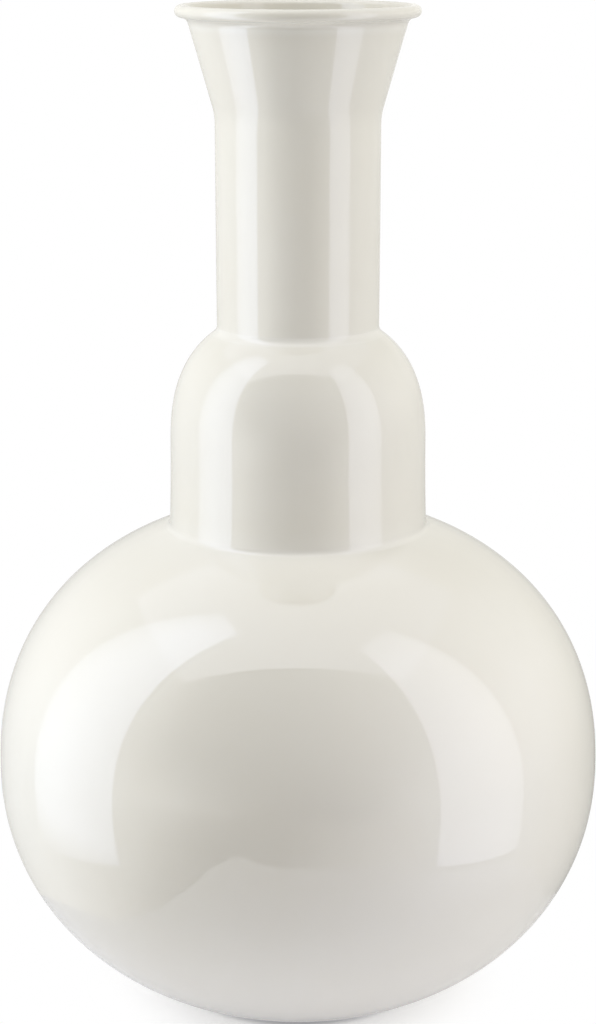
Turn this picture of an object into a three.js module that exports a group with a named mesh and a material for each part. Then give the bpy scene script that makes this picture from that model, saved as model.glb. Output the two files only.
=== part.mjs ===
// Metal vase: a round body of two spun halves, a domed shoulder and a flared neck, brazed one into the next.
// Millimetres, +Z up. The origin is on the table, on the vase's axis.
import * as THREE from "three";

// Sheet and fits
const sheet = 1.2; // thickness of every spun wall
const fitGap = 0.3; // room left where a spigot, lap or wire seats

// Felt pads under the base
const padCount = 4;
const padRadius = 8;
const padHeight = 2.5;
const padBevel = 0.5;
const padInset = 2.5; // from the edge of the foot to the edge of a pad

// Round body. A fullness of 2 makes an ellipse, and more makes it squarer.
const bodyRadius = 136.4;
const lowerDepth = 107.9; // from the widest line down to the foot
const lowerFullness = 2.1;
const upperRise = 117.8; // from the widest line up to where the curve would close
const upperFullness = 2.2;
const footRadius = 55;
const kickRadius = 32; // raised middle of the base
const kickRise = 2;
const seamWidth = 2.8; // groove between the two halves, filled by their weld
const lapHeight = 6; // how far the lower half's lip reaches up inside the upper half

// Shoulder
const skirtFootRadius = 57.8;
const skirtTopRadius = 57.1;
const skirtHeight = 37.8;
const capRise = 59; // from the top of the skirt up to where the cap would close
const capFullness = 2.5;
const shoulderSpigot = 4; // how far the skirt reaches down inside the body

// Neck and mouth
const neckFootRadius = 36;
const neckTopRadius = 36.4;
const neckLength = 94.7; // from the shoulder up to the bend of the flare
const neckSpigot = 5; // how far the neck reaches down inside the shoulder
const flareHeight = 44.4; // from the bend up to the middle of the rolled rim
const flareAngle = 16.1; // degrees from upright
const flareBend = 29; // radius of the bend under the flare
const wireRadius = 1.2;

// Brazed fillets outside the two spigots
const filletLeg = 2.2;
const filletToe = 0.4; // thickness left at the edges of a fillet

// Facets
const sides = 48; // around the axis
const padSides = 24;
const wireSides = 8;
const bodySteps = 12; // along the curve of each half
const capSteps = 9;
const bendSteps = 3;
const curlSteps = 8;
const filletSteps = 3;

const radians = THREE.MathUtils.degToRad;
const point = (r, z) => new THREE.Vector2(r, z);

// A quarter of a superellipse, with its radius on the widest line and its rise on the axis.
function swell(radius, rise, fullness) {
  const share = (part, whole) => (1 - (part / whole) ** fullness) ** (1 / fullness);
  return {
    heightAt: (r) => rise * share(r, radius),
    radiusAt: (h) => radius * share(h, rise),
    // Points from one height up and in to one radius
    points(fromHeight, toRadius, steps) {
      const start = Math.asin((fromHeight / rise) ** (fullness / 2));
      const end = Math.acos((toRadius / radius) ** (fullness / 2));
      return Array.from({ length: steps + 1 }, (_, i) => {
        const turn = start + ((end - start) * i) / steps;
        return point(radius * Math.cos(turn) ** (2 / fullness), rise * Math.sin(turn) ** (2 / fullness));
      });
    },
  };
}

// Points of a wall that turns outward about a centre, from one lean to another. A lean of 0 is upright.
function bend(centre, radius, fromLean, toLean, steps) {
  return Array.from({ length: steps + 1 }, (_, i) => {
    const lean = fromLean + ((toLean - fromLean) * i) / steps;
    return point(centre.x - radius * Math.cos(lean), centre.y + radius * Math.sin(lean));
  });
}

// A solid of revolution from a closed outline, which runs up the outside and down the inside.
function revolve(outline, facets = sides) {
  const onAxis = outline[0].x === 0;
  const loop = onAxis ? outline : [...outline, outline[0]];
  return new THREE.LatheGeometry(loop, facets).rotateX(Math.PI / 2);
}

function piece(name, geometry, finish, z = 0) {
  const mesh = new THREE.Mesh(geometry, new THREE.MeshStandardMaterial(finish));
  mesh.name = name;
  mesh.position.z = z;
  return mesh;
}

function group(z, ...children) {
  const made = new THREE.Group();
  made.position.z = z;
  made.add(...children);
  return made;
}

const enamel = { color: 0xebe6db, roughness: 0.1, metalness: 0 };
const steel = { color: 0xa8a8a6, roughness: 0.35, metalness: 1 };
const felt = { color: 0xd9d5cc, roughness: 0.95, metalness: 0 };

// The full curve of the lower half closes below the foot, which cuts it off.
const lowerRise = lowerDepth / swell(1, 1, lowerFullness).heightAt(footRadius / bodyRadius);
const lowerOuter = swell(bodyRadius, lowerRise, lowerFullness);
const lowerInner = swell(bodyRadius - sheet, lowerRise - sheet, lowerFullness);
const upperOuter = swell(bodyRadius, upperRise, upperFullness);
const upperInner = swell(bodyRadius - sheet, upperRise - sheet, upperFullness);
const capOuter = swell(skirtTopRadius, capRise, capFullness);
const capInner = swell(skirtTopRadius - sheet, capRise - sheet, capFullness);

const joggle = sheet + fitGap; // the lip's step inward, which lets the upper half slide over it
const miter = Math.tan(Math.PI / 8); // how far a 45 degree fold shifts for each millimetre of sheet
const bodyHole = skirtFootRadius + fitGap;
const shoulderHole = neckFootRadius + fitGap;
const shoulderSeat = upperOuter.heightAt(skirtFootRadius); // above the widest line
const neckSeat = skirtHeight + capOuter.heightAt(neckFootRadius); // above the shoulder's own seat

// Lower half: raised middle, flat foot, bulge, and a lip stepped in to lap inside the upper half.
// Its own zero is the underside of the foot.
function bodyLower() {
  const lipTop = lowerDepth + lapHeight;
  const stepFoot = lowerDepth - seamWidth / 2;
  const lipRadius = (h) => upperOuter.radiusAt(h) - joggle;
  const kickEdge = kickRadius + kickRise;
  const fold = sheet * miter;

  const outside = [
    point(0, kickRise),
    point(kickRadius, kickRise),
    point(kickEdge, 0),
    ...lowerOuter
      .points(seamWidth / 2, footRadius, bodySteps)
      .map((p) => point(p.x, lowerDepth - p.y))
      .reverse(),
    point(lipRadius(0), stepFoot + joggle),
    point(lipRadius(lapHeight), lipTop),
  ];
  const inside = [
    point(lipRadius(lapHeight) - sheet, lipTop),
    point(lipRadius(0) - sheet, stepFoot + joggle - fold),
    ...lowerInner
      .points(seamWidth / 2 + fold, lowerInner.radiusAt(lowerDepth - sheet), bodySteps)
      .map((p) => point(p.x, lowerDepth - p.y)),
    point(kickEdge + fold, sheet),
    point(kickRadius + fold, kickRise + sheet),
    point(0, kickRise + sheet),
  ];
  return revolve([...outside, ...inside]);
}

// Upper half: bored at the top for the shoulder. Its own zero is the widest line.
function bodyUpper() {
  const outside = upperOuter.points(seamWidth / 2, bodyHole, bodySteps);
  const inside = upperInner.points(seamWidth / 2, bodyHole, bodySteps);
  return revolve([...outside, ...inside.reverse()]);
}

// Weld that fills the groove between the halves and is ground flush. Its underside follows the 45 degree
// step in the lower half, with the fit gap measured square to it. Its own zero is the widest line.
function bodyWeld() {
  const top = seamWidth / 2 - fitGap;
  const bottom = fitGap * Math.SQRT2 - seamWidth / 2;
  return revolve([
    point(bodyRadius, bottom),
    point(bodyRadius, top),
    point(bodyRadius - sheet, top),
    point(bodyRadius - sheet, bottom + sheet),
  ]);
}

// Shoulder: straight skirt and rounded cap, bored at the top for the neck. Its own zero is its seat on the body.
function shoulder() {
  const lift = (p) => point(p.x, p.y + skirtHeight);
  const outside = [
    point(skirtFootRadius, -shoulderSpigot),
    point(skirtFootRadius, 0),
    ...capOuter.points(0, shoulderHole, capSteps).map(lift),
  ];
  const inside = [
    point(skirtFootRadius - sheet, -shoulderSpigot),
    point(skirtFootRadius - sheet, 0),
    ...capInner.points(0, shoulderHole, capSteps).map(lift),
  ];
  return revolve([...outside, ...inside.reverse()]);
}

const neckLean = Math.atan((neckTopRadius - neckFootRadius) / neckLength);
const flareLean = radians(flareAngle);
const curlInner = wireRadius + fitGap;
const curlOuter = curlInner + sheet;
const curlCentre = point(
  neckTopRadius + flareHeight * Math.tan(flareLean) + curlInner / Math.cos(flareLean),
  neckLength + flareHeight,
);

// Neck: one wall from the spigot, round the bend and up the flare, then rolled outward round the wire
// until its edge comes back to the wall. Its own zero is its seat on the shoulder.
function neck() {
  const tangent = flareBend * Math.tan((flareLean - neckLean) / 2);
  const bendCentre = point(
    neckTopRadius - tangent * Math.sin(neckLean) + flareBend * Math.cos(neckLean),
    neckLength - tangent * Math.cos(neckLean) - flareBend * Math.sin(neckLean),
  );
  const curlEnd = flareLean + 2 * Math.PI - Math.acos((curlInner - fitGap) / curlOuter);
  const skin = (depth) => [
    point(neckFootRadius - neckSpigot * Math.tan(neckLean) - depth, -neckSpigot),
    ...bend(bendCentre, flareBend + depth, neckLean, flareLean, bendSteps),
    ...bend(curlCentre, curlInner + depth, flareLean, curlEnd, curlSteps),
  ];
  return revolve([...skin(0), ...skin(sheet).reverse()]);
}

function rimWire() {
  const around = Array.from({ length: wireSides }, (_, i) => {
    const turn = (2 * Math.PI * i) / wireSides;
    return point(curlCentre.x + wireRadius * Math.cos(turn), curlCentre.y + wireRadius * Math.sin(turn));
  });
  return revolve(around);
}

// Fillet of braze in the corner between an upright wall and the curve that it stands on.
// Its own zero is the seat, and the surface gives the curve's height above the seat.
function fillet(wallRadius, surface) {
  const near = wallRadius + fitGap;
  const far = near + filletLeg;
  const under = (r) => surface(r) + fitGap;
  const crest = under(near) + filletLeg;
  const hollow = new THREE.QuadraticBezierCurve(
    point(far, under(far) + filletToe),
    point(near + filletToe, under(near) + filletToe),
    point(near + filletToe, crest),
  );
  const face = hollow.getPoints(filletSteps);
  return revolve([point(near, under(near)), point(far, under(far)), ...face, point(near, crest)]);
}

function feltPad() {
  const outline = [
    point(0, 0),
    point(padRadius - padBevel, 0),
    point(padRadius, padBevel),
    point(padRadius, padHeight),
    point(0, padHeight),
  ];
  return revolve(outline, padSides);
}

function feltPads() {
  const circle = footRadius - padInset - padRadius;
  return Array.from({ length: padCount }, (_, i) => {
    const turn = ((i + 0.5) * 2 * Math.PI) / padCount;
    const pad = piece("felt_pad_" + (i + 1), feltPad(), felt);
    pad.position.set(circle * Math.cos(turn), circle * Math.sin(turn), 0);
    return pad;
  });
}

const onShoulder = (r) => capOuter.heightAt(r) - capOuter.heightAt(neckFootRadius);
const onBody = (r) => upperOuter.heightAt(r) - shoulderSeat;

const neckAssembly = group(
  neckSeat,
  piece("neck", neck(), enamel),
  piece("rim_wire", rimWire(), steel),
  piece("neck_weld", fillet(neckFootRadius, onShoulder), enamel),
);

const shoulderAssembly = group(
  lowerDepth + shoulderSeat,
  piece("shoulder", shoulder(), enamel),
  piece("shoulder_weld", fillet(skirtFootRadius, onBody), enamel),
  neckAssembly,
);

const bodyAssembly = group(
  padHeight,
  piece("body_lower", bodyLower(), enamel),
  piece("body_upper", bodyUpper(), enamel, lowerDepth),
  piece("body_weld", bodyWeld(), enamel, lowerDepth),
  shoulderAssembly,
);

const vase = group(0, bodyAssembly, ...feltPads());

export default vase;
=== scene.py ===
import math

import bpy
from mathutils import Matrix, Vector


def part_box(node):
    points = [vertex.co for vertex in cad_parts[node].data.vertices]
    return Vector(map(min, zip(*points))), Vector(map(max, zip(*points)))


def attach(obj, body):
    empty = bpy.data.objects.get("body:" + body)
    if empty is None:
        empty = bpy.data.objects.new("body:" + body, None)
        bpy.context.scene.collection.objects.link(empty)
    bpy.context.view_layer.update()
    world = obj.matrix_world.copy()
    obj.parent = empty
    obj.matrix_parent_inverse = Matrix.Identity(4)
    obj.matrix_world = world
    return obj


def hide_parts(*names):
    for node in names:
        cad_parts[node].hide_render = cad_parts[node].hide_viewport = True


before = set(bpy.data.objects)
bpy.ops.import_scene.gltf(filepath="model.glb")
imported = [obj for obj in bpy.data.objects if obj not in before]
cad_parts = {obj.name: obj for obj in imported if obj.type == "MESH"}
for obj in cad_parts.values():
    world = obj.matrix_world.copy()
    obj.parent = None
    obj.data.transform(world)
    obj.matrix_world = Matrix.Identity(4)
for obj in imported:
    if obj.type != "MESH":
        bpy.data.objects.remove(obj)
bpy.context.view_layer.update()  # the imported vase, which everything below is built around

print("frame loaded:", len(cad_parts), "nodes")

scene = bpy.context.scene
scene.view_settings.view_transform = "Standard"


# Camera, at the photograph's angle
cameraSizes = {
    "distance": 1.1399,  # from the vase's axis, level with the floor
    "height": 0.4989,
    "tiltDown": 13.51,  # degrees
    "lens": 91.37,
}


def makeCamera():
    data = bpy.data.cameras.new("camera")
    data.lens = cameraSizes["lens"]
    camera = bpy.data.objects.new("camera", data)
    camera.location = (0, -cameraSizes["distance"], cameraSizes["height"])
    camera.rotation_euler = (math.radians(90 - cameraSizes["tiltDown"]), 0, 0)
    scene.collection.objects.link(camera)
    scene.camera = camera


makeCamera()
print("camera placed")


tiny = 0.000001  # too short to matter, in metres


# Small helpers for node trees
def addSockets(tree, side, sockets):
    for name, kind in sockets.items():
        tree.interface.new_socket(name=name, in_out=side, socket_type="NodeSocket" + kind)


def addNode(tree, kind, inputs=None, **settings):
    node = tree.nodes.new(kind)
    for name, value in settings.items():
        setattr(node, name, value)
    for key, value in (inputs or {}).items():
        if isinstance(value, bpy.types.NodeSocket):
            tree.links.new(value, node.inputs[key])
        else:
            node.inputs[key].default_value = value
    return node


def mathNode(tree, operation, first, second=0.0):
    return addNode(tree, "ShaderNodeMath", {0: first, 1: second}, operation=operation).outputs[0]


def mixColours(tree, share, first, second):
    return addNode(tree, "ShaderNodeMix", {0: share, 6: first, 7: second}, data_type="RGBA").outputs[2]


def newMaterial(name):
    material = bpy.data.materials.new(name)
    material.use_nodes = True
    material.node_tree.nodes.clear()
    return material


# Shader groups that the finishes share. All of them read Object coordinates, in metres.
def sprayTextureGroup():
    # The skin of a sprayed and fired coat: fine orange peel on slower waves, as one height
    tree = bpy.data.node_groups.new("sprayTexture", "ShaderNodeTree")
    addSockets(tree, "INPUT", {"Peel Size": "Float", "Peel": "Float", "Wave Size": "Float", "Waves": "Float"})
    addSockets(tree, "OUTPUT", {"Height": "Float"})
    source = addNode(tree, "NodeGroupInput")
    place = addNode(tree, "ShaderNodeTexCoord").outputs["Object"]
    peelScale = mathNode(tree, "DIVIDE", 1.0, source.outputs["Peel Size"])
    waveScale = mathNode(tree, "DIVIDE", 1.0, source.outputs["Wave Size"])
    peel = addNode(tree, "ShaderNodeTexNoise", {"Vector": place, "Scale": peelScale, "Detail": 2.0})
    wave = addNode(tree, "ShaderNodeTexNoise", {"Vector": place, "Scale": waveScale, "Detail": 1.0})
    peelHeight = mathNode(tree, "MULTIPLY", peel.outputs["Fac"], source.outputs["Peel"])
    waveHeight = mathNode(tree, "MULTIPLY", wave.outputs["Fac"], source.outputs["Waves"])
    both = mathNode(tree, "ADD", peelHeight, waveHeight)
    addNode(tree, "NodeGroupOutput", {"Height": both})
    return tree


def speckleGroup():
    # Scattered small dots: dust nibs in the coat, or dark fibres in felt
    tree = bpy.data.node_groups.new("speckle", "ShaderNodeTree")
    addSockets(tree, "INPUT", {"Spacing": "Float", "Dot Size": "Float", "Share": "Float"})
    addSockets(tree, "OUTPUT", {"Mask": "Float"})
    source = addNode(tree, "NodeGroupInput")
    place = addNode(tree, "ShaderNodeTexCoord").outputs["Object"]
    scale = mathNode(tree, "DIVIDE", 1.0, source.outputs["Spacing"])
    cells = addNode(tree, "ShaderNodeTexVoronoi", {"Vector": place, "Scale": scale})
    reach = mathNode(tree, "DIVIDE", source.outputs["Dot Size"], source.outputs["Spacing"])
    near = mathNode(tree, "SUBTRACT", 1.0, mathNode(tree, "DIVIDE", cells.outputs["Distance"], reach))
    dot = addNode(tree, "ShaderNodeClamp", {"Value": near}).outputs[0]
    pick = addNode(tree, "ShaderNodeSeparateColor", {"Color": cells.outputs["Color"]}).outputs[0]
    kept = mathNode(tree, "LESS_THAN", pick, source.outputs["Share"])
    addNode(tree, "NodeGroupOutput", {"Mask": mathNode(tree, "MULTIPLY", dot, kept)})
    return tree


def cloudTintGroup():
    # Slow drift between two close colours, with a third laid in by a mask
    tree = bpy.data.node_groups.new("cloudTint", "ShaderNodeTree")
    addSockets(tree, "INPUT", {
        "Colour": "Color", "Drift": "Color", "Laid In": "Color", "Mask": "Float", "Cloud Size": "Float",
    })
    addSockets(tree, "OUTPUT", {"Colour": "Color", "Cloud": "Float"})
    source = addNode(tree, "NodeGroupInput")
    place = addNode(tree, "ShaderNodeTexCoord").outputs["Object"]
    scale = mathNode(tree, "DIVIDE", 1.0, source.outputs["Cloud Size"])
    cloud = addNode(tree, "ShaderNodeTexNoise", {"Vector": place, "Scale": scale, "Detail": 3.0})
    low, high = 0.35, 0.65  # the noise's usual span, spread out to run from 0 to 1
    spread = addNode(tree, "ShaderNodeMapRange", {"Value": cloud.outputs["Fac"], 1: low, 2: high}).outputs[0]
    drifted = mixColours(tree, spread, source.outputs["Colour"], source.outputs["Drift"])
    laid = mixColours(tree, source.outputs["Mask"], drifted, source.outputs["Laid In"])
    addNode(tree, "NodeGroupOutput", {"Colour": laid, "Cloud": spread})
    return tree


sprayTexture = sprayTextureGroup()
speckle = speckleGroup()
cloudTint = cloudTintGroup()

enamelLook = {
    "colour": (0.786, 0.756, 0.66, 1),
    "drift": (0.776, 0.742, 0.64, 1),
    "paintedLightColour": (0.83, 0.803, 0.715, 1),  # painted light: a lighter colour laid near the seats and on the fillets, to lift the shade in these corners
    "cloudSize": 0.07,
    "roughness": (0.035, 0.065),
    "indexOfRefraction": 1.80,
    "peelSize": 0.0016,
    "peel": 0.004,
    "waveSize": 0.02,
    "waves": 0.05,
    "nibSpacing": 0.016,
    "nibSize": 0.0003,
    "nibShare": 0.35,
    "nibs": 0.02,
    "relief": 0.001,  # what a height of 1 stands for: peel, waves and nibs are shares of it
}


def enamelMaterial():
    material = newMaterial("creamEnamel")
    tree = material.node_tree
    look = enamelLook
    # Painted light: by this mask the enamel turns lighter near the seats and the bead and on the fillets, lifting the
    # shade that falls in those corners
    paintedLight = addNode(tree, "ShaderNodeAttribute", attribute_name="paintedLight").outputs["Fac"]
    tint = addNode(tree, "ShaderNodeGroup", {
        "Colour": look["colour"], "Drift": look["drift"], "Laid In": look["paintedLightColour"], "Mask": paintedLight,
        "Cloud Size": look["cloudSize"],
    }, node_tree=cloudTint)
    skin = addNode(tree, "ShaderNodeGroup", {
        "Peel Size": look["peelSize"], "Peel": look["peel"], "Wave Size": look["waveSize"], "Waves": look["waves"],
    }, node_tree=sprayTexture)
    nibs = addNode(tree, "ShaderNodeGroup", {
        "Spacing": look["nibSpacing"], "Dot Size": look["nibSize"], "Share": look["nibShare"],
    }, node_tree=speckle)
    nibHeight = mathNode(tree, "MULTIPLY", nibs.outputs["Mask"], look["nibs"])
    height = mathNode(tree, "ADD", skin.outputs["Height"], nibHeight)
    bump = addNode(tree, "ShaderNodeBump", {"Strength": 1.0, "Distance": look["relief"], "Height": height})
    low, high = look["roughness"]
    rough = addNode(tree, "ShaderNodeMapRange", {"Value": tint.outputs["Cloud"], 3: low, 4: high}).outputs[0]
    surface = addNode(tree, "ShaderNodeBsdfPrincipled", {
        "Base Color": tint.outputs["Colour"],
        "Roughness": rough,
        "IOR": look["indexOfRefraction"],
        "Normal": bump.outputs["Normal"],
    })
    addNode(tree, "ShaderNodeOutputMaterial", {"Surface": surface.outputs["BSDF"]})
    return material


steelLook = {
    "colour": (0.36, 0.36, 0.355, 1),
    "drift": (0.30, 0.295, 0.285, 1),
    "spots": (0.13, 0.09, 0.06, 1),
    "cloudSize": 0.006,
    "spotSpacing": 0.002,
    "spotSize": 0.0006,
    "spotShare": 0.2,
    "lineStretch": (2.0, 90.0, 1.0),  # the lines that drawing left, which run round the ring
    "lineScale": 4.0,
    "lineDepth": 0.00005,
    "roughness": (0.28, 0.45),
}


def steelMaterial():
    material = newMaterial("drawnSteel")
    tree = material.node_tree
    look = steelLook
    spots = addNode(tree, "ShaderNodeGroup", {
        "Spacing": look["spotSpacing"], "Dot Size": look["spotSize"], "Share": look["spotShare"],
    }, node_tree=speckle)
    tint = addNode(tree, "ShaderNodeGroup", {
        "Colour": look["colour"], "Drift": look["drift"], "Laid In": look["spots"],
        "Mask": spots.outputs["Mask"], "Cloud Size": look["cloudSize"],
    }, node_tree=cloudTint)
    along = addNode(tree, "ShaderNodeUVMap", uv_map="UVMap").outputs["UV"]
    stretch = addNode(tree, "ShaderNodeMapping", {"Vector": along, "Scale": look["lineStretch"]}).outputs[0]
    lines = addNode(tree, "ShaderNodeTexNoise", {"Vector": stretch, "Scale": look["lineScale"], "Detail": 4.0})
    bump = addNode(tree, "ShaderNodeBump", {"Distance": look["lineDepth"], "Height": lines.outputs["Fac"]})
    low, high = look["roughness"]
    rough = addNode(tree, "ShaderNodeMapRange", {"Value": lines.outputs["Fac"], 3: low, 4: high}).outputs[0]
    surface = addNode(tree, "ShaderNodeBsdfPrincipled", {
        "Base Color": tint.outputs["Colour"], "Metallic": 1.0, "Roughness": rough, "Normal": bump.outputs["Normal"],
    })
    addNode(tree, "ShaderNodeOutputMaterial", {"Surface": surface.outputs["BSDF"]})
    return material


feltLook = {
    "colour": (0.62, 0.58, 0.50, 1),
    "drift": (0.52, 0.48, 0.41, 1),
    "flecks": (0.22, 0.20, 0.17, 1),
    "cloudSize": 0.0012,
    "fleckSpacing": 0.0012,
    "fleckSize": 0.0005,
    "fleckShare": 0.15,
    "napSize": 0.0002,
    "nap": 0.12,
    "tuftSize": 0.0015,
    "tufts": 0.2,
    "relief": 0.001,
    "roughness": 0.95,
    "sheen": 0.35,
    "sheenRoughness": 0.6,
}


def feltMaterial():
    material = newMaterial("pressedFelt")
    tree = material.node_tree
    look = feltLook
    flecks = addNode(tree, "ShaderNodeGroup", {
        "Spacing": look["fleckSpacing"], "Dot Size": look["fleckSize"], "Share": look["fleckShare"],
    }, node_tree=speckle)
    tint = addNode(tree, "ShaderNodeGroup", {
        "Colour": look["colour"], "Drift": look["drift"], "Laid In": look["flecks"],
        "Mask": flecks.outputs["Mask"], "Cloud Size": look["cloudSize"],
    }, node_tree=cloudTint)
    nap = addNode(tree, "ShaderNodeGroup", {
        "Peel Size": look["napSize"], "Peel": look["nap"], "Wave Size": look["tuftSize"], "Waves": look["tufts"],
    }, node_tree=sprayTexture)
    bump = addNode(tree, "ShaderNodeBump", {"Distance": look["relief"], "Height": nap.outputs["Height"]})
    surface = addNode(tree, "ShaderNodeBsdfPrincipled", {
        "Base Color": tint.outputs["Colour"],
        "Roughness": look["roughness"],
        "Sheen Weight": look["sheen"],
        "Sheen Roughness": look["sheenRoughness"],
        "Normal": bump.outputs["Normal"],
    })
    addNode(tree, "ShaderNodeOutputMaterial", {"Surface": surface.outputs["BSDF"]})
    return material


enamel = enamelMaterial()
steel = steelMaterial()
felt = feltMaterial()
print("finishes made")


# Turning: a tree that spins an outline round the axis and works the slow ripple of spun sheet into it
def turnedTree():
    tree = bpy.data.node_groups.new("turned", "GeometryNodeTree")
    addSockets(tree, "INPUT", {
        "Outline": "Geometry", "Points": "Int", "Sides": "Int", "Crease Angle": "Float",
        "Ripple Size": "Float", "Material": "Material",
    })
    addSockets(tree, "OUTPUT", {"Geometry": "Geometry"})
    source = addNode(tree, "NodeGroupInput")
    outline, points, sides = [source.outputs[name] for name in ("Outline", "Points", "Sides")]

    # A flat grid has one column for each point of the outline and one row for each step round the axis
    rows = mathNode(tree, "ADD", sides, 1.0)
    grid = addNode(tree, "GeometryNodeMeshGrid", {"Vertices X": points, "Vertices Y": rows})
    index = addNode(tree, "GeometryNodeInputIndex").outputs[0]
    column = mathNode(tree, "FLOOR", mathNode(tree, "DIVIDE", mathNode(tree, "ADD", index, 0.5), rows))
    row = mathNode(tree, "SUBTRACT", index, mathNode(tree, "MULTIPLY", column, rows))
    turn = mathNode(tree, "MULTIPLY", mathNode(tree, "DIVIDE", row, sides), math.tau)

    def sampled(kind, value):
        return addNode(tree, "GeometryNodeSampleIndex", {
            "Geometry": outline, "Value": value, "Index": column,
        }, data_type=kind, domain="POINT").outputs["Value"]

    def spun(vector):
        parts = addNode(tree, "ShaderNodeSeparateXYZ", {0: vector})
        x = mathNode(tree, "MULTIPLY", parts.outputs["X"], mathNode(tree, "COSINE", turn))
        y = mathNode(tree, "MULTIPLY", parts.outputs["X"], mathNode(tree, "SINE", turn))
        return addNode(tree, "ShaderNodeCombineXYZ", {"X": x, "Y": y, "Z": parts.outputs["Z"]}).outputs[0]

    # The share of painted light, which lightens the enamel near the corners, is carried from the outline onto the
    # turned piece
    paintedLight = addNode(tree, "GeometryNodeInputNamedAttribute", {"Name": "paintedLight"}, data_type="FLOAT")
    push = addNode(tree, "GeometryNodeInputNamedAttribute", {"Name": "push"}, data_type="FLOAT_VECTOR")
    spot = spun(sampled("FLOAT_VECTOR", addNode(tree, "GeometryNodeInputPosition").outputs[0]))
    pushed = spun(sampled("FLOAT_VECTOR", push.outputs["Attribute"]))

    # The ripple only takes away, so that the piece stays inside its drawn size
    scale = mathNode(tree, "DIVIDE", 1.0, source.outputs["Ripple Size"])
    noise = addNode(tree, "ShaderNodeTexNoise", {"Vector": spot, "Scale": scale, "Detail": 1.0, "Roughness": 0.4})
    inward = addNode(tree, "ShaderNodeVectorMath", {0: pushed, "Scale": noise.outputs["Fac"]}, operation="SCALE")

    def kept(geometry, name, kind, domain, value):
        return addNode(tree, "GeometryNodeStoreNamedAttribute", {
            "Geometry": geometry, "Name": name, "Value": value,
        }, data_type=kind, domain=domain).outputs[0]

    shape = kept(grid.outputs["Mesh"], "UVMap", "FLOAT2", "CORNER", grid.outputs["UV Map"])
    shape = kept(shape, "paintedLight", "FLOAT", "POINT", sampled("FLOAT", paintedLight.outputs["Attribute"]))
    placed = addNode(tree, "GeometryNodeSetPosition", {
        "Geometry": shape, "Position": spot, "Offset": inward.outputs[0],
    })
    welded = addNode(tree, "GeometryNodeMergeByDistance", {"Geometry": placed.outputs[0], "Distance": tiny})
    outward = addNode(tree, "GeometryNodeFlipFaces", {"Mesh": welded.outputs[0]})

    angle = addNode(tree, "GeometryNodeInputMeshEdgeAngle").outputs["Unsigned Angle"]
    soft = mathNode(tree, "LESS_THAN", angle, source.outputs["Crease Angle"])
    faces = addNode(tree, "GeometryNodeSetShadeSmooth", {0: outward.outputs[0], 2: True}, domain="FACE")
    edges = addNode(tree, "GeometryNodeSetShadeSmooth", {0: faces.outputs[0], 2: soft}, domain="EDGE")
    real = addNode(tree, "GeometryNodeRealizeInstances", {0: edges.outputs[0]})
    finish = addNode(tree, "GeometryNodeSetMaterial", {0: real.outputs[0], "Material": source.outputs["Material"]})
    addNode(tree, "NodeGroupOutput", {"Geometry": finish.outputs[0]})
    return tree


turned = turnedTree()
turning = {"sides": 256, "creaseAngle": math.radians(28), "rippleSize": 0.020}


def setInputs(modifier, values):
    for item in modifier.node_group.interface.items_tree:
        if item.item_type == "SOCKET" and item.in_out == "INPUT" and item.name in values:
            modifier[item.identifier] = values[item.name]


def bakeModifier(piece, modifier):
    graph = bpy.context.evaluated_depsgraph_get()
    drawn = piece.data
    piece.data = bpy.data.meshes.new_from_object(piece.evaluated_get(graph), depsgraph=graph)
    piece.modifiers.remove(modifier)
    piece.data.name = piece.name
    bpy.data.meshes.remove(drawn)


def stillPoint(r, z):
    return (0.0, 0.0, 0.0)


def outlineObject(name, outline, paintedLight, push):
    mesh = bpy.data.meshes.new(name + "Outline")
    links = [(i, i + 1) for i in range(len(outline) - 1)]
    mesh.from_pydata([(r, 0, z) for r, z in outline], links, [])
    # The share of painted light at each point of the outline, which lightens the enamel near corners
    mesh.attributes.new("paintedLight", "FLOAT", "POINT").data.foreach_set("value", [paintedLight(r, z) for r, z in outline])
    pushes = [part for r, z in outline for part in push(r, z)]
    mesh.attributes.new("push", "FLOAT_VECTOR", "POINT").data.foreach_set("vector", pushes)
    piece = bpy.data.objects.new(name, mesh)
    scene.collection.objects.link(piece)
    return piece


def turnPiece(name, outline, node, material, paintedLight=lambda r, z: 0.0, push=stillPoint, sides=None):
    if outline[0][0] > 0:  # it doesn't start on the axis, so it is a closed loop
        outline = outline + outline[:1]
    piece = outlineObject(name, outline, paintedLight, push)
    modifier = piece.modifiers.new("turned", "NODES")
    modifier.node_group = turned
    setInputs(modifier, {
        "Points": len(outline), "Sides": sides or turning["sides"], "Crease Angle": turning["creaseAngle"],
        "Ripple Size": turning["rippleSize"], "Material": material,
    })
    bakeModifier(piece, modifier)
    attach(piece, "root")
    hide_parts(node)
    print(name, "turned,", len(piece.data.polygons), "faces")
    return piece


# Curves that the outlines are drawn with. An outline runs up the outside of a piece and down its inside.
def blendSteps(count):
    return [i / count for i in range(count + 1)]


def edgeSteps(count, strip=0.02):
    # Even steps with a narrow one at each end, so that the gloss runs on unbroken into the next piece
    return [0.0, strip / count] + [i / count for i in range(1, count)] + [1 - strip / count, 1.0]


def heightOn(curve, r):
    return curve["rise"] * (1 - (r / curve["radius"]) ** curve["fullness"]) ** (1 / curve["fullness"])


def radiusOn(curve, h):
    return curve["radius"] * (1 - (h / curve["rise"]) ** curve["fullness"]) ** (1 / curve["fullness"])


def curvePoints(curve, fromHeight, toRadius, steps):
    start = math.asin((fromHeight / curve["rise"]) ** (curve["fullness"] / 2))
    end = math.acos((toRadius / curve["radius"]) ** (curve["fullness"] / 2))
    turns = [start + (end - start) * t for t in steps]
    power = 2 / curve["fullness"]
    return [(curve["radius"] * math.cos(a) ** power, curve["rise"] * math.sin(a) ** power) for a in turns]


def cornerCurve(start, corner, end, steps):
    return [
        tuple((1 - t) ** 2 * a + 2 * t * (1 - t) * b + t * t * c for a, b, c in zip(start, corner, end))
        for t in steps
    ]


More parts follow.
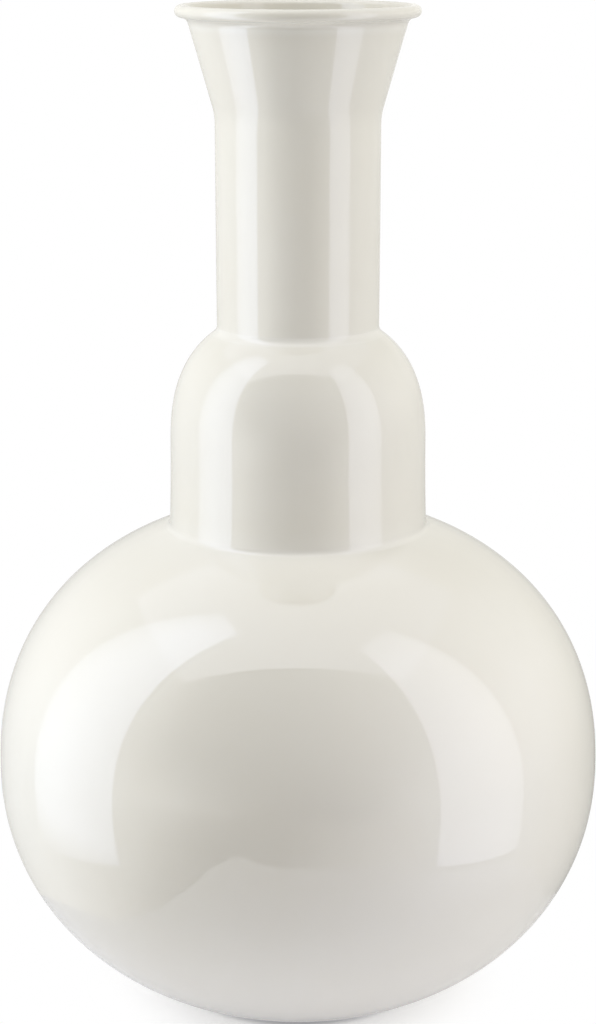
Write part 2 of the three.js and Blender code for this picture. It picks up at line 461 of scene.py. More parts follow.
def roundedCorner(before, corner, after, leg, steps=6):
    # A corner of the outline, cut by a curve that starts and ends one leg away from it
    def towards(other):
        share = leg / math.dist(corner, other)
        return tuple(a + (b - a) * share for a, b in zip(corner, other))
    return cornerCurve(towards(before), corner, towards(after), blendSteps(steps))


def arcPoints(centre, radius, fromLean, toLean, steps):
    leans = [fromLean + (toLean - fromLean) * t for t in steps]
    return [(centre[0] - radius * math.cos(a), centre[1] + radius * math.sin(a)) for a in leans]


def lift(points, height):
    return [(r, z + height) for r, z in points]


# Sizes of the sheet and of the three forms, in metres, as the drawn solids have them
sheet = 0.0012
fitGap = 0.0003
bodySizes = {
    "radius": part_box("body_upper")[1].x,
    "foot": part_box("body_lower")[0].z,
    "lowerDepth": 0.1079,
    "lowerFullness": 2.1,
    "upperRise": 0.1178,
    "upperFullness": 2.2,
    "footRadius": 0.055,
    "kickRadius": 0.032,
    "kickRise": 0.002,
    "seamWidth": 0.0028,
    "lapHeight": 0.006,
    "footCurve": 0.004,  # half the width of the soft edge round the foot
    "foldLeg": 0.0015,
    "innerFoldLeg": 0.0006,
    "steps": 96,
    "footSteps": 12,
    "seamSteps": 4,
}
shoulderSizes = {
    "footRadius": 0.0578,
    "topRadius": 0.0571,
    "skirtHeight": 0.0378,
    "capRise": 0.059,
    "capFullness": 2.5,
    "spigot": 0.004,
    "skirtSteps": 24,
    "capSteps": 72,
}
neckSizes = {
    "footRadius": 0.036,
    "topRadius": 0.0364,
    "length": 0.0947,
    "spigot": 0.005,
    "flareHeight": 0.0444,
    "flareAngle": math.radians(16.1),
    "flareBend": 0.029,
    "wireRadius": 0.0012,
    "beadFillet": 0.0038,
    "tubeSteps": 48,
    "bendSteps": 16,
    "flareSteps": (40, 24),  # outside and inside
    "filletSteps": 14,
    "beadSteps": 48,
    "wireSteps": 20,
    "wireSides": 128,
}
slopeStep = 0.0001  # for reading the slope of a curve

body = bodySizes
lowerRise = body["lowerDepth"] / heightOn(
    {"radius": 1, "rise": 1, "fullness": body["lowerFullness"]}, body["footRadius"] / body["radius"]
)


def shell(radius, rise, fullness):
    outer = {"radius": radius, "rise": rise, "fullness": fullness}
    return outer, {**outer, "radius": radius - sheet, "rise": rise - sheet}


lowerOuter, lowerInner = shell(body["radius"], lowerRise, body["lowerFullness"])
upperOuter, upperInner = shell(body["radius"], body["upperRise"], body["upperFullness"])
capOuter, capInner = shell(shoulderSizes["topRadius"], shoulderSizes["capRise"], shoulderSizes["capFullness"])

widest = body["foot"] + body["lowerDepth"]
shoulderSeat = widest + heightOn(upperOuter, shoulderSizes["footRadius"])
skirtTop = shoulderSeat + shoulderSizes["skirtHeight"]
neckSeat = skirtTop + heightOn(capOuter, neckSizes["footRadius"])
seamHalf = body["seamWidth"] / 2


# How far up and down from a corner the enamel is painted lighter, to lift the shade there, and the share of that
# painted light on the fillets
paintedLightSizes = {"shoulder": 0.014, "neck": 0.005, "bead": 0.003, "fillets": 0.8}


def paintedLightNear(*corners):
    # Painted light: the enamel is painted lighter near a corner, lifting the shade that falls there. Each corner is a
    # height and how far from it the colour is lighter.
    return lambda r, z: max(max(0.0, 1 - abs(z - height) / reach) ** 2 for height, reach in corners)


rippleSizes = {
    "body": 0.00005,
    "flare": 0.00016,
    "growth": 0.10,  # height over the neck's seat at which it is as deep as on the flare
    "turnDrop": 0.004,  # how far below the shoulder's seat the push begins to turn level
    "turn": 0.01,  # and the height in which it does
    "stillFoot": 0.0015,  # the foot is left flat
}


def spunRipple(r, z):
    # The ripple pushes towards the middle of the globe, and above the globe straight in to the axis.
    # It depends on the place alone, so pieces that touch stay in touch.
    rise = min(1.0, max(0.0, (z - neckSeat) / rippleSizes["growth"]))
    depth = rippleSizes["body"] + (rippleSizes["flare"] - rippleSizes["body"]) * rise ** 2
    above = max(0.0, z - shoulderSeat + rippleSizes["turnDrop"])
    aim = (z - widest) * max(0.0, 1 - above / rippleSizes["turn"])
    away = math.hypot(r, aim) or 1.0
    fade = min(1.0, r / bodySizes["kickRadius"]) ** 2
    return (-depth * fade * r / away, 0.0, -depth * fade * aim / away)


def bodyLower():
    foot, kick, kickRise = body["footRadius"], body["kickRadius"], body["kickRise"]
    kickEdge = kick + kickRise
    miter = math.tan(math.pi / 8)
    fold = sheet * miter
    joggle = sheet + fitGap
    lipTop = body["lowerDepth"] + body["lapHeight"]
    stepFoot = body["lowerDepth"] - seamHalf

    def lipRadius(h):
        return radiusOn(upperOuter, h) - joggle

    softEnd = foot + body["footCurve"]
    depthAt = body["lowerDepth"] - heightOn(lowerOuter, softEnd)
    ahead = body["lowerDepth"] - heightOn(lowerOuter, softEnd + slopeStep)
    slope = (ahead - depthAt) / slopeStep
    softStart = foot - body["footCurve"]
    wall = curvePoints(lowerOuter, seamHalf, softEnd, edgeSteps(body["steps"]))
    footCurve = cornerCurve(
        (softStart, 0), (softEnd - depthAt / slope, 0), (softEnd, depthAt), blendSteps(body["footSteps"])
    )
    outside = [
        (0, kickRise),
        *roundedCorner((0, kickRise), (kick, kickRise), (kickEdge, 0), body["foldLeg"] / 2),
        *roundedCorner((kick, kickRise), (kickEdge, 0), (foot, 0), body["foldLeg"] / 2),
        *footCurve[:-1],
        *[(r, body["lowerDepth"] - h) for r, h in reversed(wall)],
        (lipRadius(0), stepFoot + joggle),
        (lipRadius(body["lapHeight"]), lipTop),
    ]
    innerWall = curvePoints(
        lowerInner, seamHalf + fold, radiusOn(lowerInner, body["lowerDepth"] - sheet), blendSteps(body["steps"] // 2)
    )
    corners = [(foot, sheet), (kickEdge + fold, sheet), (kick + fold, kickRise + sheet), (0, kickRise + sheet)]
    inside = [
        (lipRadius(body["lapHeight"]) - sheet, lipTop),
        (lipRadius(0) - sheet, stepFoot + joggle - fold),
        *[(r, body["lowerDepth"] - h) for r, h in innerWall],
        *roundedCorner(*corners[:3], body["innerFoldLeg"]),
        *roundedCorner(*corners[1:], body["innerFoldLeg"]),
        corners[-1],
    ]
    outline = lift(outside + inside, body["foot"])

    def push(r, z):
        return spunRipple(r, z) if z > body["foot"] + rippleSizes["stillFoot"] else stillPoint(r, z)

    return turnPiece("body_lower_skin", outline, "body_lower", enamel, push=push)


def bodyUpper():
    hole = shoulderSizes["footRadius"] + fitGap
    outside = curvePoints(upperOuter, seamHalf, hole, edgeSteps(body["steps"]))
    inside = curvePoints(upperInner, seamHalf, hole, blendSteps(body["steps"] // 2))
    outline = lift(outside + inside[::-1], widest)
    # The enamel is painted lighter near the shoulder's seat: painted light
    paintedLight = paintedLightNear((shoulderSeat, paintedLightSizes["shoulder"]))
    return turnPiece("body_upper_skin", outline, "body_upper", enamel, paintedLight, spunRipple)


def bodyWeld():
    steps = blendSteps(body["seamSteps"])
    low = [(r, -h) for r, h in curvePoints(lowerOuter, 0, radiusOn(lowerOuter, seamHalf), steps)]
    high = curvePoints(upperOuter, 0, radiusOn(upperOuter, seamHalf), steps)
    back = body["radius"] - sheet
    outline = lift(low[::-1] + high[1:] + [(back, seamHalf), (back, sheet - seamHalf)], widest)
    return turnPiece("body_weld_bead", outline, "body_weld", enamel, push=spunRipple)


def skirtRadius(t):
    # The skirt eases into the cap, upright where they meet
    return shoulderSizes["topRadius"] + (shoulderSizes["footRadius"] - shoulderSizes["topRadius"]) * (1 - t) ** 2


def shoulder():
    hole = neckSizes["footRadius"] + fitGap
    height = shoulderSizes["skirtHeight"]
    steps = blendSteps(shoulderSizes["skirtSteps"])[:-1]
    skirt = [(skirtRadius(t), height * t) for t in steps]
    cap = lift(curvePoints(capOuter, 0, hole, blendSteps(shoulderSizes["capSteps"])), height)
    innerSkirt = [(r - sheet, z) for r, z in skirt]
    innerCap = lift(curvePoints(capInner, 0, hole, blendSteps(shoulderSizes["capSteps"] // 2)), height)
    outside = [(skirt[0][0], -shoulderSizes["spigot"]), *skirt, *cap]
    inside = [(innerSkirt[0][0], -shoulderSizes["spigot"]), *innerSkirt, *innerCap]
    outline = lift(outside + inside[::-1], shoulderSeat)
    # The enamel is painted lighter near both seats: painted light
    paintedLight = paintedLightNear((shoulderSeat, paintedLightSizes["shoulder"]), (neckSeat, paintedLightSizes["neck"]))
    return turnPiece("shoulder_skin", outline, "shoulder", enamel, paintedLight, spunRipple)


# Neck and rolled rim
neck = neckSizes
neckLean = math.atan((neck["topRadius"] - neck["footRadius"]) / neck["length"])
curlInner = neck["wireRadius"] + fitGap
curlOuter = curlInner + sheet
curlCentre = (
    neck["topRadius"] + neck["flareHeight"] * math.tan(neck["flareAngle"]) + curlInner / math.cos(neck["flareAngle"]),
    neck["length"] + neck["flareHeight"],
)


def neckSkin():
    lean = neck["flareAngle"]
    tangent = neck["flareBend"] * math.tan((lean - neckLean) / 2)
    bendCentre = (
        neck["topRadius"] - tangent * math.sin(neckLean) + neck["flareBend"] * math.cos(neckLean),
        neck["length"] - tangent * math.cos(neckLean) - neck["flareBend"] * math.sin(neckLean),
    )
    along = (math.sin(lean), math.cos(lean))
    out = (math.cos(lean), -math.sin(lean))

    # The fillet that the enamel leaves under the bead touches both the flare and the bead
    fillet = neck["beadFillet"]
    drop = math.sqrt((curlOuter + fillet) ** 2 - (fillet - curlInner) ** 2)
    start = [c - curlInner * o for c, o in zip(curlCentre, out)]
    filletCentre = [s + fillet * o - drop * a for s, o, a in zip(start, out, along)]
    toBead = math.atan2(curlCentre[1] - filletCentre[1], curlCentre[0] - filletCentre[0])
    fromWall = math.atan2(-out[1], -out[0])

    def wall(depth, flareSteps, filletOn):
        foot = (neck["footRadius"] - neck["spigot"] * math.tan(neckLean) - depth, -neck["spigot"])
        bend = arcPoints(bendCentre, neck["flareBend"] + depth, neckLean, lean, blendSteps(neck["bendSteps"]))
        tube = blendSteps(neck["tubeSteps"])[:-1]
        straight = [tuple(a + (b - a) * t for a, b in zip(foot, bend[0])) for t in tube]
        end = [s - depth * o - (drop if filletOn else 0) * a for s, o, a in zip(start, out, along)]
        flare = [tuple(a + (b - a) * t for a, b in zip(bend[-1], end)) for t in blendSteps(flareSteps)[1:]]
        return straight + bend + flare

    turns = [fromWall + (toBead - fromWall) * t for t in blendSteps(neck["filletSteps"])[1:]]
    hollow = [(filletCentre[0] + fillet * math.cos(a), filletCentre[1] + fillet * math.sin(a)) for a in turns]
    beadStart = toBead + math.pi
    beadEnd = math.pi - lean + math.tau
    beadEnd = beadEnd - math.tau if beadEnd - beadStart > math.tau else beadEnd
    beadTurns = [beadStart + (beadEnd - beadStart) * t for t in blendSteps(neck["beadSteps"])[1:-1]]
    bead = [(curlCentre[0] + curlOuter * math.cos(a), curlCentre[1] + curlOuter * math.sin(a)) for a in beadTurns]
    outside = wall(0, neck["flareSteps"][0], True)
    inside = wall(sheet, neck["flareSteps"][1], False)
    outline = lift(outside + hollow + bead + inside[::-1], neckSeat)
    # The enamel is painted lighter near the neck's seat and under the bead: painted light
    paintedLight = paintedLightNear((neckSeat, paintedLightSizes["neck"]), (neckSeat + filletCentre[1], paintedLightSizes["bead"]))
    return turnPiece("neck_skin", outline, "neck", enamel, paintedLight, spunRipple)


def rimWire():
    centre = (curlCentre[0], neckSeat + curlCentre[1])
    radius = neck["wireRadius"]
    turns = [math.tau * t for t in blendSteps(neck["wireSteps"])[:-1]]
    ring = [(centre[0] + radius * math.cos(a), centre[1] + radius * math.sin(a)) for a in turns]
    return turnPiece("rim_wire_ring", ring, "rim_wire", steel, sides=neck["wireSides"])


filletSizes = {"leg": 0.0022, "root": 0.0003, "rootRise": 0.1, "steps": 20}


def filletRing(name, node, wallRadius, seat, surface):
    # Braze dressed to a hollow curve, tangent to the upright wall and to the form that it stands on
    leg, root, steps = filletSizes["leg"], filletSizes["root"], filletSizes["steps"]
    sink = root * filletSizes["rootRise"]
    far = wallRadius + leg
    slope = (surface(far + slopeStep) - surface(far)) / slopeStep
    meet = surface(far) - leg * slope  # where the form's tangent line reaches the wall
    hollow = cornerCurve((far, surface(far)), (wallRadius, meet), (wallRadius, meet + leg), blendSteps(steps))
    toe = (far + root, surface(far + root) - sink)
    top = (wallRadius - sink, meet + leg + root)
    behind = [
        (wallRadius - root, meet + leg),
        (wallRadius - root, surface(wallRadius) - root),
        (far, surface(far) - root),
    ]
    outline = lift([toe, *hollow, top, *behind], seat)
    # The fillet is painted lighter all over: painted light in the corner
    return turnPiece(name, outline, node, enamel, lambda r, z: paintedLightSizes["fillets"], spunRipple)


bodyLower()
bodyUpper()
bodyWeld()
shoulder()
neckSkin()
rimWire()
filletRing(
    "shoulder_weld_fillet", "shoulder_weld", shoulderSizes["footRadius"], widest,
    lambda r: heightOn(upperOuter, r),
)
filletRing(
    "neck_weld_fillet", "neck_weld", neckSizes["footRadius"], skirtTop,
    lambda r: heightOn(capOuter, r),
)


# Felt pads: one soft-edged disc, set out round the foot
padSizes = {
    "count": 4,
    "radius": 0.008,
    "height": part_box("felt_pad_1")[1].z,
    "bevel": 0.0007,
    "fuzz": 0.00012,
    "fuzzScale": 900.0,
    "sides": 64,
    "topSteps": 14,
    "edgeSteps": 5,
    "clear": 1.5,  # the flat's last ring stays this many bevels away from the edge
}


def padTree():
    tree = bpy.data.node_groups.new("feltPads", "GeometryNodeTree")
    addSockets(tree, "INPUT", {
        "Outline": "Geometry", "Points": "Int", "Sides": "Int", "Count": "Int", "Circle": "Float",
        "Fuzz": "Float", "Fuzz Scale": "Float", "Material": "Material",
    })
    addSockets(tree, "OUTPUT", {"Geometry": "Geometry"})
    source = addNode(tree, "NodeGroupInput")
    passedOn = {name: source.outputs[name] for name in ("Outline", "Points", "Sides", "Material")}
    disc = addNode(tree, "GeometryNodeGroup", {
        **passedOn, "Crease Angle": math.pi, "Ripple Size": turning["rippleSize"],
    }, node_tree=turned)
    circle = addNode(tree, "GeometryNodeMeshCircle", {
        "Vertices": source.outputs["Count"], "Radius": source.outputs["Circle"],
    })
    step = mathNode(tree, "DIVIDE", math.pi, source.outputs["Count"])
    turn = addNode(tree, "ShaderNodeCombineXYZ", {"Z": step})
    spread = addNode(tree, "GeometryNodeInstanceOnPoints", {
        "Points": circle.outputs[0], "Instance": disc.outputs[0],
    })
    turnAll = addNode(tree, "GeometryNodeTransform", {"Geometry": spread.outputs[0], "Rotation": turn.outputs[0]})
    real = addNode(tree, "GeometryNodeRealizeInstances", {0: turnAll.outputs[0]})
    spot = addNode(tree, "GeometryNodeInputPosition").outputs[0]
    noise = addNode(tree, "ShaderNodeTexNoise", {
        "Vector": spot, "Scale": source.outputs["Fuzz Scale"], "Detail": 2.0,
    })
    depth = mathNode(tree, "MULTIPLY", noise.outputs["Fac"], mathNode(tree, "MULTIPLY", source.outputs["Fuzz"], -1.0))
    normal = addNode(tree, "GeometryNodeInputNormal").outputs[0]
    inward = addNode(tree, "ShaderNodeVectorMath", {0: normal, "Scale": depth}, operation="SCALE")
    fuzzy = addNode(tree, "GeometryNodeSetPosition", {"Geometry": real.outputs[0], "Offset": inward.outputs[0]})
    finish = addNode(tree, "GeometryNodeSetMaterial", {0: fuzzy.outputs[0], "Material": source.outputs["Material"]})
    addNode(tree, "NodeGroupOutput", {"Geometry": finish.outputs[0]})
    return tree


def feltPads():
    radius, bevel, height = padSizes["radius"], padSizes["bevel"], padSizes["height"]
    across = [radius * t for t in blendSteps(padSizes["topSteps"])[:-1]]
    across = [r for r in across if r < radius - padSizes["clear"] * bevel]
    up = [bevel + (height - 2 * bevel) * t for t in blendSteps(padSizes["edgeSteps"])[1:-1]]
    outline = [
        *[(r, 0) for r in across],
        *roundedCorner((0, 0), (radius, 0), (radius, height), bevel),
        *[(radius, z) for z in up],
        *roundedCorner((radius, 0), (radius, height), (0, height), bevel),
        *[(r, height) for r in reversed(across)],
    ]
    pads = outlineObject("felt_pads", outline, lambda r, z: 0.0, stillPoint)
    low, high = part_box("felt_pad_1")
    modifier = pads.modifiers.new("feltPads", "NODES")
    modifier.node_group = padTree()
    setInputs(modifier, {
        "Points": len(outline), "Sides": padSizes["sides"], "Count": padSizes["count"],
        "Circle": ((low + high) / 2).xy.length, "Fuzz": padSizes["fuzz"], "Fuzz Scale": padSizes["fuzzScale"],
        "Material": felt,
    })
    bakeModifier(pads, modifier)
    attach(pads, "root")
    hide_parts(*[f"felt_pad_{i + 1}" for i in range(padSizes["count"])])
    print("felt pads set out,", len(pads.data.polygons), "faces")


feltPads()


# Floor, lamps and cards of the set
floorSizes = {
    "radius": 6.0,
    "sides": 96,
    "matte": (0.8, 0.8, 0.82, 1),
    "lift": 0.4,
    "liftTint": (1, 0.99, 0.95, 1),
    "liftFrom": (0.05, 0.0585),
    "whiteFrom": (0.055, 0.1),
    "glossFrom": (0.18, 0.85),
}
glowDisc = {
    "radius": 0.21,
    "softness": 0.09,
    "glow": 0.22,
    "core": 0.055,
    "coreGlow": 0.17,
    "tint": (0.94, 1, 1.28, 1),
    "glossTint": (0.85, 0.84, 0.82, 1),
}


def rayMask(tree):
    # 1 where the camera, a gloss or a glass looks, and 0 where the light falls on matter
    path = addNode(tree, "ShaderNodeLightPath")
    seen = mathNode(tree, "MAXIMUM", path.outputs["Is Camera Ray"], path.outputs["Is Glossy Ray"])
    return path, mathNode(tree, "MAXIMUM", seen, path.outputs["Is Transmission Ray"])


def floorMaterial():
    material = newMaterial("paleFloor")
    tree = material.node_tree
    path, seen = rayMask(tree)
    place = addNode(tree, "ShaderNodeTexCoord").outputs["Object"]
    away = addNode(tree, "ShaderNodeVectorMath", {0: place}, operation="LENGTH").outputs["Value"]

    def fade(start, end, low, high):
        return addNode(tree, "ShaderNodeMapRange", {
            "Value": away, 1: start, 2: end, 3: low, 4: high,
        }, interpolation_type="SMOOTHSTEP").outputs[0]

    # The floor turns plain white away from the vase's shadow, and further off in the gloss than straight on
    straight = mathNode(tree, "MULTIPLY", path.outputs["Is Camera Ray"], fade(*floorSizes["whiteFrom"], 0.0, 1.0))
    mirrored = mathNode(tree, "MULTIPLY", seen, fade(*floorSizes["glossFrom"], 0.0, 1.0))
    white = addNode(tree, "ShaderNodeEmission", {"Strength": 1.0})
    matte = addNode(tree, "ShaderNodeBsdfDiffuse", {"Color": floorSizes["matte"]})
    disc = fade(glowDisc["radius"] - glowDisc["softness"], glowDisc["radius"], glowDisc["glow"], 0.0)
    core = fade(0.0, glowDisc["core"], glowDisc["coreGlow"], 0.0)
    lit = mathNode(tree, "ADD", disc, core)
    hidden = mathNode(tree, "SUBTRACT", 1.0, path.outputs["Is Camera Ray"])
    glow = addNode(tree, "ShaderNodeEmission", {
        "Color": mixColours(tree, seen, glowDisc["tint"], glowDisc["glossTint"]),
        "Strength": mathNode(tree, "MULTIPLY", lit, hidden),
    })
    # The camera sees the shadow lifted, but for the dark line under the foot
    raised = fade(*floorSizes["liftFrom"], 0.0, floorSizes["lift"])
    lift = addNode(tree, "ShaderNodeEmission", {
        "Color": floorSizes["liftTint"], "Strength": mathNode(tree, "MULTIPLY", path.outputs["Is Camera Ray"], raised),
    })
    lights = addNode(tree, "ShaderNodeAddShader", {0: glow.outputs[0], 1: lift.outputs[0]})
    near = addNode(tree, "ShaderNodeAddShader", {0: matte.outputs[0], 1: lights.outputs[0]})
    share = mathNode(tree, "MAXIMUM", straight, mirrored)
    mix = addNode(tree, "ShaderNodeMixShader", {0: share, 1: near.outputs[0], 2: white.outputs[0]})
    addNode(tree, "ShaderNodeOutputMaterial", {"Surface": mix.outputs[0]})
    return material


def makeFloor():
    mesh = bpy.data.meshes.new("floor")
    radius, sides = floorSizes["radius"], floorSizes["sides"]
    turns = [math.tau * i / sides for i in range(sides)]
    mesh.from_pydata([(radius * math.cos(a), radius * math.sin(a), 0) for a in turns], [], [range(sides)])
    floor = bpy.data.objects.new("floor", mesh)
    floor.data.materials.append(floorMaterial())
    scene.collection.objects.link(floor)


worldSizes = {"ambient": 0.18, "tint": (1, 0.96, 0.67, 1)}


def makeWorld():
    world = bpy.data.worlds.new("studio")
    world.use_nodes = True
    world.node_tree.nodes.clear()
    scene.world = world
    tree = world.node_tree
    path, seen = rayMask(tree)
    strength = addNode(tree, "ShaderNodeMapRange", {"Value": seen, 3: worldSizes["ambient"], 4: 1.0}).outputs[0]
    tint = mixColours(tree, seen, worldSizes["tint"], (1, 1, 1, 1))
    light = addNode(tree, "ShaderNodeBackground", {"Color": tint, "Strength": strength})
    addNode(tree, "ShaderNodeOutputWorld", {"Surface": light.outputs[0]})


def areaLamp(name, centre, facing, width, height, glow, tint=(1, 1, 1), across=None, along=None, corner=None):
    # across and along shape the glow over the lamp's face, as (place, share) pairs from 0 to 1, and corner dims
    # it towards the face's lower corner at place 0: how high, the weight of the way across, and the share left
    data = bpy.data.lights.new(name, "AREA")
    data.shape = "RECTANGLE"
    data.size, data.size_y = width, height
    data.color = tint
    data.energy = glow * math.pi * width * height  # so that the lamp's face shines at glow
    if across or along:
        data.use_nodes = True
        tree = data.node_tree
        tree.nodes.clear()
        spot = addNode(tree, "ShaderNodeNewGeometry").outputs["Parametric"]
        parts = addNode(tree, "ShaderNodeSeparateXYZ", {0: spot})
        first = shareCurve(tree, parts.outputs["X"], across or [(0, 1), (1, 1)])
        second = shareCurve(tree, parts.outputs["Y"], along or [(0, 1), (1, 1)])
        strength = mathNode(tree, "MULTIPLY", first, second)
        if corner:
            rise, weight, least = corner
            up = mathNode(tree, "MULTIPLY", parts.outputs["Y"], height / rise)
            way = mathNode(tree, "ADD", up, mathNode(tree, "MULTIPLY", parts.outputs["X"], weight))
            fade = addNode(tree, "ShaderNodeMapRange", {"Value": way, 3: least, 4: 1.0}).outputs[0]
            strength = mathNode(tree, "MULTIPLY", strength, fade)
        shine = addNode(tree, "ShaderNodeEmission", {"Strength": strength})
        addNode(tree, "ShaderNodeOutputLight", {"Surface": shine.outputs[0]})
    lamp = bpy.data.objects.new(name, data)
    lamp.location = centre
    lamp.rotation_euler = Vector(facing).to_track_quat("-Z", "Y").to_euler()
    lamp.visible_camera = False
    scene.collection.objects.link(lamp)
    return lamp


def shareCurve(tree, value, points):
    node = addNode(tree, "ShaderNodeFloatCurve", {"Value": value})
    curve = node.mapping.curves[0]
    for place, share in points[1:-1]:
        curve.points.new(place, share)
    curve.points[0].location = points[0]
    curve.points[-1].location = points[-1]
    node.mapping.update()
    return node.outputs[0]


# Each upright lamp is given by its two long edges, as places on the floor, and by its foot and head.
# Across runs from the inner edge to the outer one, along from the foot to the head.
stripLamps = {
    "left_strip": {
        "inner": (-0.222, -0.157),
        "outer": (-0.251, -0.003),
        "foot": 0.015,
        "head": 0.83,
        "glow": 1.235,
        "tint": (0.87, 0.98, 1.3),
        "across": [(0, 1.0), (0.4, 1.0), (0.62, 0.9), (0.82, 0.67), (1, 0.4)],
        "along": [(0, 0.76), (0.13, 0.84), (0.3, 0.94), (0.45, 1.0), (0.65, 0.96), (0.85, 0.76), (1, 0.66)],
        "corner": (0.06, 0.6, 0.1),  # this lamp fades at the foot of its outer edge
    },
    "right_strip": {
        "inner": (0.207, -0.231),
        "outer": (0.281, -0.088),
        "foot": 0.01,
        "head": 0.72,
        "glow": 0.945,
        "tint": (0.97, 1.0, 1.2),
        "across": [(0, 0.95), (0.4, 1.0), (0.75, 0.9), (1, 0.6)],
        "along": [(0, 0.78), (0.13, 0.83), (0.3, 0.97), (0.5, 1.0), (0.65, 0.95), (0.82, 0.7), (1, 0.58)],
    },
}
# Boxes: centre, the point each faces, width, height, glow, tint, and whether the gloss shows it
softBoxes = {
    "overhead": ((-0.04, 0.065, 1.155), (-0.04, 0.065, 0), 1.72, 1.27, 0.32, (0.96, 1, 1.2), True),
    "top_fill": ((0, -0.5, 1.6), (0, 0, 0.2), 2.0, 1.6, 0.8, (1, 1, 1.1), False),
    "left_fill": ((-1.6, 0, 0.85), (0, 0, 0.3), 1.2, 1.7, 2.0, (1, 1.01, 1.04), False),
    "left_near": ((-0.27, -0.12, 0.5), (0, 0, 0.33), 0.16, 0.34, 0.46, (1, 1, 0.9), False),
    "right_fill": ((1.6, 0, 0.85), (0, 0, 0.3), 1.2, 1.7, 1.8, (1, 1, 0.97), False),
    "front_fill": ((-0.9, -1.6, 0.5), (0, 0, 0.25), 1.5, 1.0, 0.345, (1, 0.96, 0.56), False),
    "front_low": ((0.15, -0.62, 0.07), (0, 0, 0.09), 0.4, 0.1, 2.3, (1, 1.02, 1.55), False),
}
overheadShares = {"across": [(0, 1.0), (0.5, 1.0), (0.8, 0.8), (1, 0.6)], "along": [(0, 0.75), (0.4, 0.95), (1, 1.0)]}


def makeLamps():
    for name, lamp in stripLamps.items():
        inner, outer = Vector(lamp["inner"]), Vector(lamp["outer"])
        middle, span = (inner + outer) / 2, outer - inner
        facing = Vector((span.y, -span.x, 0))
        across = lamp["across"]
        if facing.xy.dot(middle) > 0:
            facing = -facing
        # The lamp's own X runs from its inner edge to its outer one on the right, and back on the left
        if middle.x < 0:
            across = [(1 - place, share) for place, share in reversed(across)]
        height = lamp["head"] - lamp["foot"]
        centre = (*middle, lamp["foot"] + height / 2)
        areaLamp(
            name, centre, facing, span.length, height, lamp["glow"], lamp["tint"], across, lamp["along"],
            lamp.get("corner"),
        )
    for name, (centre, aim, width, height, glow, tint, shows) in softBoxes.items():
        shares = overheadShares if name == "overhead" else {}
        lamp = areaLamp(name, centre, Vector(aim) - Vector(centre), width, height, glow, tint, **shares)
        lamp.visible_glossy = shows


# The unlit room, which only the gloss sees: a tent from the overhead box's edge down to the floor, and the
# ground inside its foot, which comes closer at the sides and behind than in front. Each is painted in greys, as
# shares of the glow, that run round the vase from behind by the left, the front and the right. There is one run
# for the tent's foot and the ground far out, one for the tent's top, and one for the ground close by.
roomSizes = {
    "radius": 2.6,
    "groundEdge": 0.41,
    "groundFar": 1.4,  # from here out it has the foot's greys
    "height": 0.001,
    "steps": 240,
    "rows": 12,
    "glow": 1.46,
    "tint": (1, 0.99, 0.95, 1),
    "footRise": 0.55,  # share of the tent's height over which its greys turn from foot to top
    # How far in the ground comes, as shares of its edge's radius, round the vase from behind by the left
    "reach": [
        (0, 0.38), (0.34, 0.4), (0.385, 0.48), (0.412, 0.64), (0.418, 0.72), (0.424, 0.83), (0.434, 0.94),
        (0.444, 1.03), (0.45, 1.055), (0.457, 1.03), (0.466, 0.965), (0.485, 0.915), (0.65, 0.92), (0.7, 0.66),
        (0.76, 0.4), (1, 0.38),
    ],
}
footGreys = [
    (0, 0.46), (0.12, 0.55), (0.22, 0.68), (0.31, 0.8), (0.35, 0.82), (0.375, 0.73), (0.392, 0.6), (0.415, 0.44),
    (0.435, 0.3), (0.46, 0.17), (0.48, 0.1), (0.5, 0.06), (0.53, 0.08), (0.555, 0.17), (0.6, 0.44), (0.635, 0.56),
    (0.7, 0.53), (0.75, 0.51), (0.88, 0.51), (1, 0.5),
]
topGreys = [
    (0, 0.66), (0.12, 0.68), (0.25, 0.7), (0.31, 0.62), (0.35, 0.36), (0.38, 0.18), (0.42, 0.12), (0.5, 0.17),
    (0.57, 0.34), (0.62, 0.42), (0.68, 0.58), (0.75, 0.7), (0.88, 0.74), (1, 0.72),
]
nearGreys = [
    (0, 0.42), (0.12, 0.46), (0.2, 0.56), (0.3, 0.77), (0.34, 0.7), (0.375, 0.44), (0.41, 0.17), (0.44, 0.07),
    (0.48, 0.1), (0.51, 0.24), (0.545, 0.43), (0.59, 0.54), (0.64, 0.52), (0.75, 0.38), (0.88, 0.32), (1, 0.38),
]


def roomMaterial(name, place, others):
    # place turns the card's own coordinates into the share of the other greys
    material = newMaterial(name)
    tree = material.node_tree
    spot = addNode(tree, "ShaderNodeTexCoord").outputs["Object"]
    parts = addNode(tree, "ShaderNodeSeparateXYZ", {0: spot})
    turn = mathNode(tree, "ARCTAN2", parts.outputs["X"], mathNode(tree, "MULTIPLY", parts.outputs["Y"], -1.0))
    share = mathNode(tree, "ADD", mathNode(tree, "DIVIDE", turn, math.tau), 0.5)
    foot, other = shareCurve(tree, share, footGreys), shareCurve(tree, share, others)
    lean = addNode(tree, "ShaderNodeMapRange", {"Value": place(tree, spot, parts), 3: foot, 4: other}).outputs[0]
    face = addNode(tree, "ShaderNodeEmission", {
        "Color": roomSizes["tint"], "Strength": mathNode(tree, "MULTIPLY", lean, roomSizes["glow"]),
    })
    addNode(tree, "ShaderNodeOutputMaterial", {"Surface": face.outputs[0]})
    return material


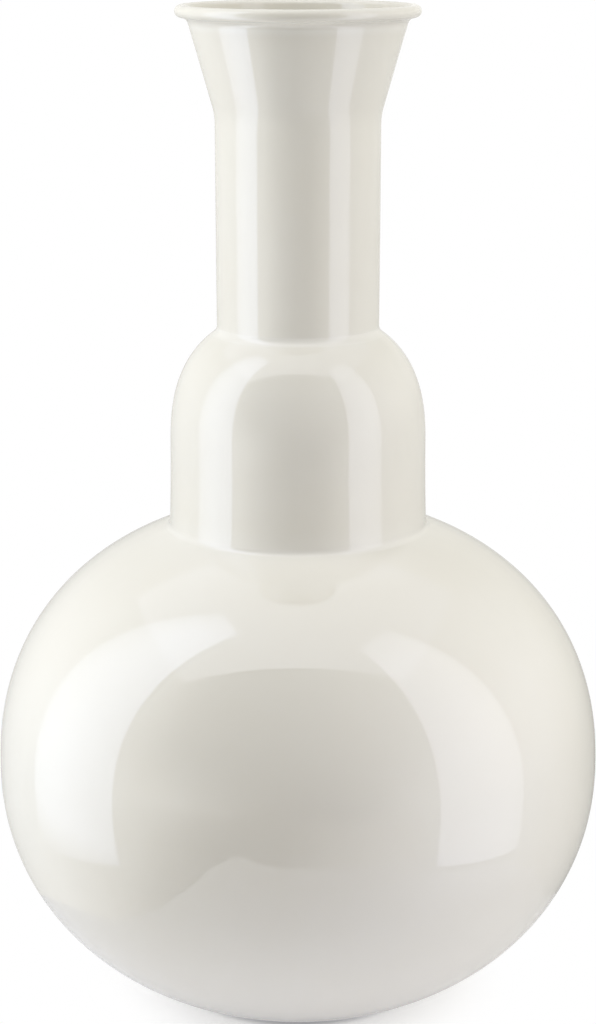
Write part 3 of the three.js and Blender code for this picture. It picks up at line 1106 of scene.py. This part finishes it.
def roomCard(name, inner, outer, material):
    # A ring of quads between two closed lines, each given as a place for a direction round the vase
    steps, rows = roomSizes["steps"], roomSizes["rows"]
    turns = [math.tau * (i + 0.5) / steps for i in range(steps)]
    points = [inner(a).lerp(outer(a), row / rows) for row in range(rows + 1) for a in turns]
    quads = [
        (row * steps + i, row * steps + (i + 1) % steps, (row + 1) * steps + (i + 1) % steps, (row + 1) * steps + i)
        for row in range(rows) for i in range(steps)
    ]
    mesh = bpy.data.meshes.new(name)
    mesh.from_pydata(points, [], quads)
    mesh.materials.append(material)
    card = bpy.data.objects.new(name, mesh)
    scene.collection.objects.link(card)
    card.visible_camera = card.visible_diffuse = card.visible_shadow = card.visible_transmission = False


def makeRoom():
    (x, y, top), _, width, depth, *_ = softBoxes["overhead"]

    def boxEdge(a):
        # Where the line that leaves the axis in this direction crosses the edge of the overhead box
        run, rise = math.sin(a), -math.cos(a)
        sides = [
            (half + math.copysign(1, way) * middle) / max(abs(way), tiny)
            for way, middle, half in ((run, x, width / 2), (rise, y, depth / 2))
        ]
        return Vector((run * min(sides), rise * min(sides), top))

    def circle(radius, height):
        return lambda a: Vector((radius * math.sin(a), -radius * math.cos(a), height))

    def heightShare(tree, spot, parts):
        return mathNode(tree, "DIVIDE", parts.outputs["Z"], top * roomSizes["footRise"])

    def nearness(tree, spot, parts):
        away = addNode(tree, "ShaderNodeVectorMath", {0: spot}, operation="LENGTH").outputs["Value"]
        return addNode(tree, "ShaderNodeMapRange", {
            "Value": away, 1: roomSizes["groundFar"], 2: roomSizes["groundEdge"], 3: 0.0, 4: 1.0,
        }).outputs[0]

    def groundLine(a):
        place = (a / math.tau + 0.5) % 1.0
        share = next(
            low + (high - low) * (place - start) / (end - start)
            for (start, low), (end, high) in zip(roomSizes["reach"], roomSizes["reach"][1:]) if place <= end
        )
        return circle(roomSizes["groundEdge"] * share, roomSizes["height"])(a)

    rim = circle(roomSizes["radius"], roomSizes["height"])
    roomCard("room_tent", boxEdge, rim, roomMaterial("roomTent", heightShare, topGreys))
    ground = roomMaterial("roomGround", nearness, nearGreys)
    roomCard("room_ground", groundLine, rim, ground)


makeFloor()
makeWorld()
makeLamps()
makeRoom()
print("set lit")
